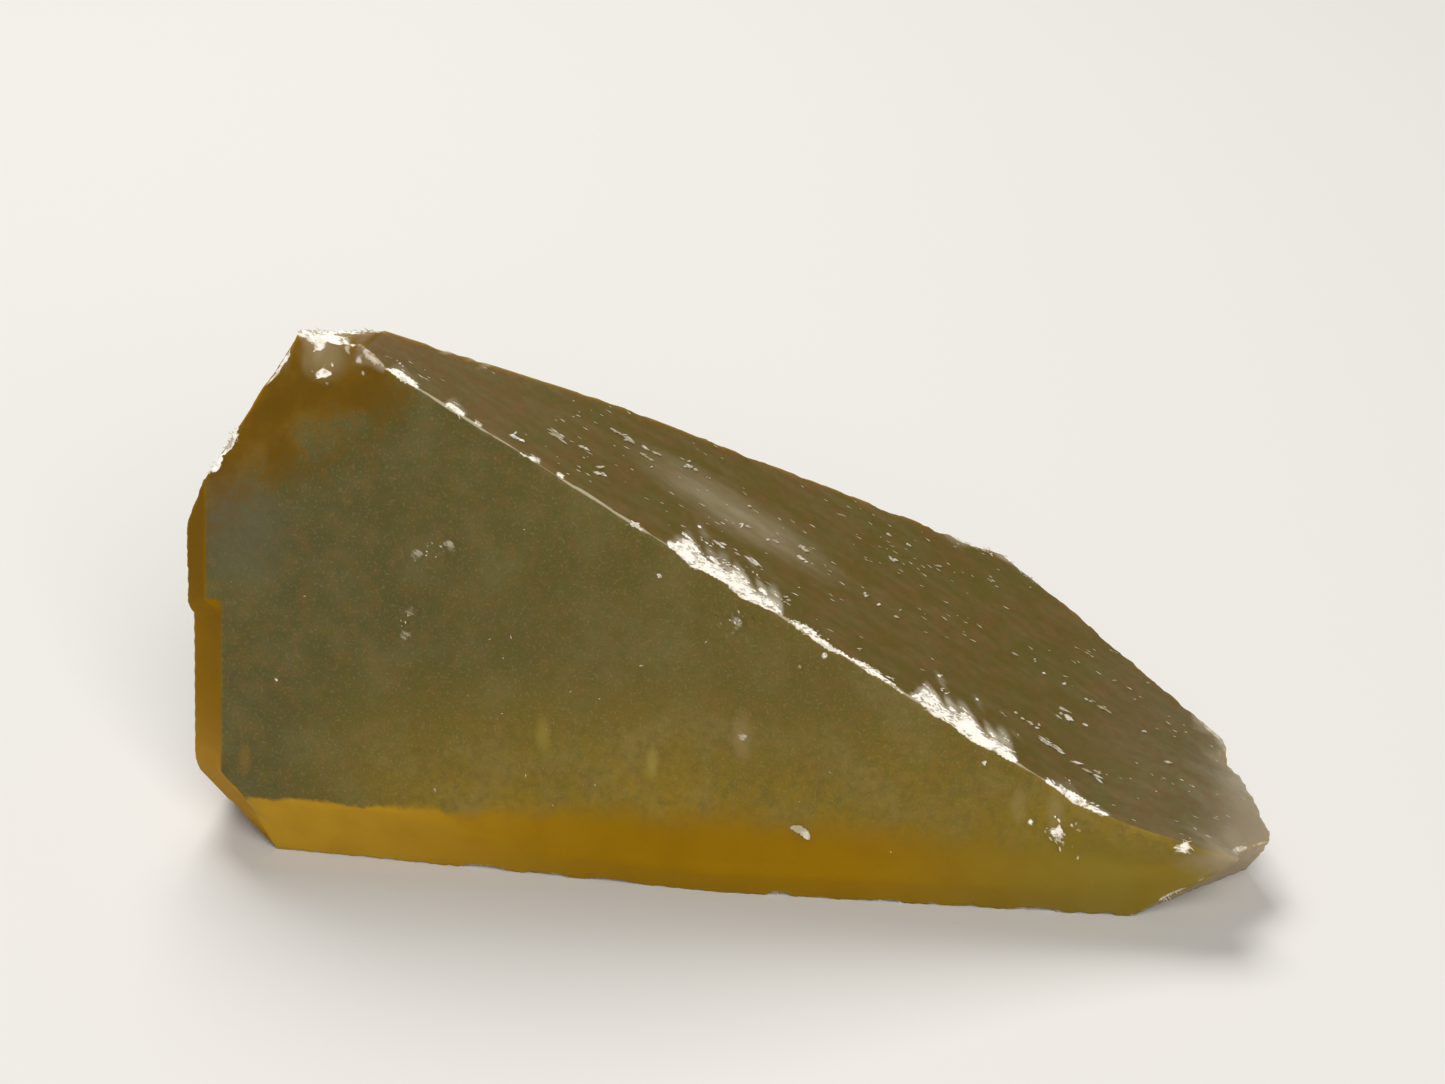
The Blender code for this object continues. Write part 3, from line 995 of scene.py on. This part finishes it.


# ---- White splinters and flecks ----
# Calcite breaks into tiny slanted blocks.  They stick in the crushed chips of the ridge, and
# short bright cracks show through the top face, all running with the ridge.  The white flecks
# of the top are partly painted glints of light off small pits.


def splinter_tree():
    """Geometry nodes that scatter small slanted blocks over a surface, along one direction."""
    sockets = {
        "Float": ("Density", "Spread", "Threshold", "Patch Scale", "Patch Low", "Patch High"),
        "Vector": ("Smallest", "Largest", "Run"),
        "String": ("Where",),
        "Int": ("Seed",),
    }
    named = [(name, kind) for kind, names in sockets.items() for name in names]
    tree, start = geometry_tree("splinters", named)
    amount = stored_number(tree, start["Where"])
    amount = reckon(tree, "GREATER_THAN", amount, start["Threshold"])
    place = join(tree, "GeometryNodeInputPosition")[0]
    patchy = noise_of(tree, place, start["Patch Scale"], 2.0)
    ends = {"From_Min": start["Patch Low"], "From_Max": start["Patch High"]}
    patchy = join(tree, "ShaderNodeMapRange", Value=patchy, **ends)[0]
    density = reckon(tree, "MULTIPLY", reckon(tree, "MULTIPLY", amount, patchy), start["Density"])
    scatter = join(
        tree,
        "GeometryNodeDistributePointsOnFaces",
        {"distribute_method": "RANDOM"},
        Mesh=start["Geometry"],
        Density=density,
        Seed=start["Seed"],
    )
    block = join(tree, "GeometryNodeMeshCube", Size=(1.0, 1.0, 1.0))[0]
    corner = join(tree, "ShaderNodeSeparateXYZ", Vector=join(tree, "GeometryNodeInputPosition")[0])
    slant = reckon(tree, "MULTIPLY", corner[1], 0.55)
    slant = reckon(tree, "MULTIPLY_ADD", corner[2], 0.45, slant)
    slant = join(tree, "ShaderNodeCombineXYZ", X=slant)[0]
    block = join(tree, "GeometryNodeSetPosition", Geometry=block, Offset=slant)[0]

    def random_vector(least, most):
        """A vector for each block, between two others."""
        ends = {"i0": least, "i1": most, "Seed": start["Seed"]}
        return join(tree, "FunctionNodeRandomValue", {"data_type": "FLOAT_VECTOR"}, **ends)[0]

    turn = join(tree, "FunctionNodeAlignRotationToVector", {"axis": "X"}, Vector=start["Run"])[0]
    turn = join(
        tree,
        "FunctionNodeAlignRotationToVector",
        {"axis": "Z", "pivot_axis": "X"},
        Rotation=turn,
        Vector=scatter["Normal"],
    )[0]
    wobble = random_vector(
        *(
            join(tree, "ShaderNodeCombineXYZ", X=part, Y=part, Z=part)[0]
            for part in (reckon(tree, "MULTIPLY", start["Spread"], -1.0), start["Spread"])
        )
    )
    turns = {"Rotation": turn, "Rotate_By": wobble}
    turn = join(tree, "FunctionNodeRotateRotation", {"rotation_space": "LOCAL"}, **turns)[0]
    many = join(
        tree,
        "GeometryNodeInstanceOnPoints",
        Points=scatter["Points"],
        Instance=block,
        Rotation=turn,
        Scale=random_vector(start["Smallest"], start["Largest"]),
    )[0]
    dress(tree, many, start["Material"])
    return tree


HONEYED_WHITE = srgb(158, 148, 118)


def white_splinter():
    """Material of the splinters and of the painted glints on the top: sugary white calcite with a
    little honey in it.
    """
    material, tree, surface = new_material("white_splinter")
    sugar = placed(tree, crushed_stone, places_in_mm(tree), Amount=0.62, Scale=0.9)
    colour = mix(tree, sugar["Mask"], HONEYED_WHITE, CRUSHED_WHITE)
    tree.links.new(colour, surface.inputs["Base Color"])
    emboss(tree, surface, 0.3, 0.03 * MM, sugar["Height"])
    surface.inputs["Roughness"].default_value = 0.35
    return material


splinters = splinter_tree()
splinter_white = white_splinter()
SPLINTERS = (
    # name, where they are, above what amount of it, how many per mm2, how far turned, seed,
    # smallest and largest size in mm, and the patches they come in: scale, none below, all above
    ("ridge_splinters", "crushed", 0.75, 26.0, 0.7, 3,
     (0.08, 0.03, 0.02), (0.34, 0.10, 0.06), (600.0, 0.35, 0.6)),
    # tiny white flecks of the top, partly painted glints
    ("top_flecks", "top_face", 0.5, 1.3, 0.2, 5,
     (0.04, 0.02, 0.02), (0.3, 0.05, 0.03), (170.0, 0.42, 0.72)),
    ("front_flecks", "front_face", 0.5, 0.10, 3.0, 11,
     (0.04, 0.03, 0.02), (0.16, 0.1, 0.03), (140.0, 0.45, 0.7)),
)
for name, place, threshold, density, spread, seed, smallest, largest, patches in SPLINTERS:
    flecks = in_scene(name, crystal.data)
    grow(
        flecks,
        splinters,
        Density=density / (MM * MM),
        Spread=spread,
        Threshold=threshold,
        Patch_Scale=patches[0],
        Patch_Low=patches[1],
        Patch_High=patches[2],
        Smallest=[part * MM for part in smallest],
        Largest=[part * MM for part in largest],
        Run=list(ridge_run),
        Where=place,
        Seed=seed,
        Material=splinter_white,
    )
    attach(flecks, "root")


# ---- Bright cracks with painted glints, and knocked flakes ----
# Cleavage cracks reach the top face in rows that run with the ridge, and each shows as a bright
# sliver, partly white stone and partly a painted glint.  Where the steep face was knocked, small
# flakes stand white, and one larger one curls.

# Rows of cracks on the top; their white slivers are partly painted glints.
CRACK_AND_GLINT_ROWS = (
    # how far in from the ridge, from and to along it, how many, longest, widest, all in mm
    (1.0, -13.7, -13.2, 3, 0.5, 0.30),
    (3.4, -12.0, -10.0, 5, 1.1, 0.22),
    (2.5, -8.9, -8.0, 4, 0.5, 0.26),
    (7.0, -9.4, -6.8, 6, 1.2, 0.18),
    (6.0, -8.0, -6.0, 3, 0.5, 0.18),
    (8.0, -5.2, 0.8, 6, 0.5, 0.20),
    (5.9, -1.3, 3.6, 6, 0.4, 0.22),
    (2.8, -1.4, 0.9, 5, 0.9, 0.20),
    (1.6, 3.2, 4.2, 4, 0.3, 0.14),
    (7.2, 2.4, 3.2, 2, 0.5, 0.26),
    (11.1, 7.2, 7.6, 1, 0.8, 0.40),
    (6.5, 6.8, 11.4, 5, 0.4, 0.20),
    (13.3, 5.0, 12.0, 3, 0.3, 0.14),
    (3.1, 18.6, 23.0, 9, 1.2, 0.13),
    (4.2, 16.8, 19.0, 5, 0.5, 0.13),
    (6.7, 17.4, 27.0, 8, 0.6, 0.20),
    (9.5, 15.0, 27.4, 8, 0.5, 0.16),
)
KNOCKS = (
    # place along X and Z, how far they spread, how many, largest, all in mm
    (18.7, 5.5, 0.95, 11, 0.18),
    (14.6, 9.2, 0.08, 2, 0.20),
    (5.7, 14.4, 0.08, 2, 0.16),
    (0.9, 15.9, 0.50, 5, 0.14),
    (-3.4, 18.1, 0.10, 2, 0.12),
    (-17.2, 14.6, 0.60, 5, 0.11),
    (-15.9, 18.7, 0.80, 6, 0.11),
)
SLIVER_HEIGHT = 0.12  # mm
KNOCK_HEIGHT = 0.2  # part of the flake's length
cube = np.array([(a, b, c) for c in (-0.5, 0.5) for b in (-0.5, 0.5) for a in (-0.5, 0.5)])
cube[:, 0] += 0.5 * cube[:, 1] + 0.4 * cube[:, 2]  # slanted, as calcite breaks
cube_faces = ((0, 2, 3, 1), (4, 5, 7, 6), (0, 1, 5, 4), (2, 6, 7, 3), (0, 4, 6, 2), (1, 3, 7, 5))


def slivers(name, blocks, faces):
    """Makes one piece of many small flakes, given in mm."""
    made = mesh_piece(name, swollen(np.array(blocks)) * MM, faces)
    made.data.materials.append(splinter_white)
    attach(made, "root")


def flake(blocks, faces, place, along, out, size):
    """Adds one slanted block that lies along a direction."""
    along = flattened(along, out)
    start = len(blocks)
    blocks.extend(place + (cube * size) @ np.array((along, np.cross(out, along), out)))
    faces += [tuple(start + k for k in face) for face in cube_faces]


inward = np.cross(normals[TOP], ridge_run)
inward *= np.sign(inward[1])
blocks, block_faces = [], []
for away, start, end, count, longest, widest in CRACK_AND_GLINT_ROWS:
    for _ in range(count):
        place = on_edge(FRONT, TOP, 0.0) + ridge_run * dice.uniform(start, end)
        place += inward * (away + 0.22 * dice.normal())
        size = (longest * dice.uniform(0.2, 0.7), widest * dice.uniform(0.5, 1.1), SLIVER_HEIGHT)
        size = np.array(size)
        for _ in range(1 + int(3 * dice.random())):
            shift = ridge_run * 0.6 * size[0] * dice.normal()
            shift = shift + inward * 0.4 * size[1] * dice.normal()
            piece = size * (dice.uniform(0.4, 1.0), dice.uniform(0.5, 1.0), 1.0)
            along = ridge_run - 0.25 * inward + 0.25 * dice.normal(size=3)
            flake(blocks, block_faces, place + shift, along, normals[TOP], piece)
slivers("bright_cracks", blocks, block_faces)

blocks, block_faces = [], []
for x, z, spread, count, largest in KNOCKS:
    for _ in range(count):
        out = unit(normals[FRONT] + 0.12 * dice.normal(size=3))
        size = (dice.uniform(0.3, 1.0), dice.uniform(0.3, 0.7), KNOCK_HEIGHT)
        size = largest * np.array(size)
        place = on_face(FRONT, x + spread * dice.normal() * 0.6, z + spread * dice.normal() * 0.6)
        flake(blocks, block_faces, place, dice.normal(size=3), out, size)

# The larger flake curls up from the steep face: a bowed ribbon, narrow at both ends.
CURL_PLACE = (4.75, 4.55)  # mm along X and Z
CURL_LENGTH, CURL_WIDTH, CURL_BOW = 0.62, 0.20, 0.16  # mm: half the length and width, the bow
CURL_STEPS = 12
CURL_OUTLINE = ((-1.0, 0.05), (1.0, 0.02), (1.0, -0.08), (-1.0, -0.08))  # side, height in mm
flake_run = ridge_run - normals[FRONT] * (ridge_run @ normals[FRONT])
flake_rise = np.cross(normals[FRONT], flake_run)
start = len(blocks)
for k in range(CURL_STEPS + 1):
    t = 2.0 * k / CURL_STEPS - 1.0
    bow = flake_rise * CURL_BOW * (1 - t * t)
    middle = on_face(FRONT, *CURL_PLACE) + flake_run * CURL_LENGTH * t + bow
    half = CURL_WIDTH * math.sqrt(max(1.0 - t * t, 0.0)) * dice.uniform(0.7, 1.2) + 0.02
    for side, lift in CURL_OUTLINE:
        blocks.append(middle + flake_rise * half * side + normals[FRONT] * lift)
end = start + 4 * CURL_STEPS
for low in range(start, end, 4):
    for a, b in ((1, 0), (2, 1), (3, 2), (0, 3)):
        block_faces.append((low + a, low + b, low + 4 + b, low + 4 + a))
block_faces += [(start, start + 1, start + 2, start + 3), (end + 3, end + 2, end + 1, end)]
slivers("knocked_flakes", blocks, block_faces)


# ---- Floor, light and camera ----
# A pale matt floor, with one large soft light above and behind the stone and a wider one in
# front.  The camera looks down on the stone from just to the right of its steep face.

bpy.context.scene.view_settings.view_transform = "Standard"
corners = [(-2, -2, 0), (2, -2, 0), (2, 2, 0), (-2, 2, 0)]
floor = mesh_piece("floor", corners, [(0, 1, 2, 3)])
paper, _, paper_surface = new_material("pale_floor")
paper_surface.inputs["Base Color"].default_value = (0.62, 0.61, 0.59, 1.0)
paper_surface.inputs["Roughness"].default_value = 0.8
floor.data.materials.append(paper)

world = bpy.data.worlds.new("soft_room")
world.use_nodes = True
sky = world.node_tree.nodes["Background"]
sky.inputs["Color"].default_value = (0.80, 0.83, 0.88, 1.0)
sky.inputs["Strength"].default_value = 0.14
bpy.context.scene.world = world


def soft_light(name, place, aim, size, power, colour):
    """A square area light that faces a point."""
    lamp = bpy.data.lights.new(name, "AREA")
    lamp.size = size
    lamp.energy = power
    lamp.color = colour
    holder = in_scene(name, lamp)
    holder.location = place
    holder.rotation_euler = (Vector(place) - Vector(aim)).to_track_quat("Z", "Y").to_euler()


STONE_MIDDLE = (0.0, 0.0, 0.01)
soft_light("window", (-0.14, 0.24, 0.46), STONE_MIDDLE, 0.30, 2.7, (1.0, 0.98, 0.95))
soft_light("fill", (0.18, -0.55, 0.42), STONE_MIDDLE, 0.45, 5.2, (1.0, 0.97, 0.93))

CAMERA_PLACE = (0.02515, -0.17228, 0.09732)
CAMERA_SIDE = (8.75, 25.0)  # azimuth and height in degrees that it looks from
camera = in_scene("camera", bpy.data.cameras.new("camera"))
camera.data.lens = 85.0
camera.data.sensor_width = 36.0
camera.data.clip_start = 0.01
camera.location = CAMERA_PLACE
camera.rotation_euler = Vector(looking(*CAMERA_SIDE)).to_track_quat("Z", "Y").to_euler()
bpy.context.scene.camera = camera
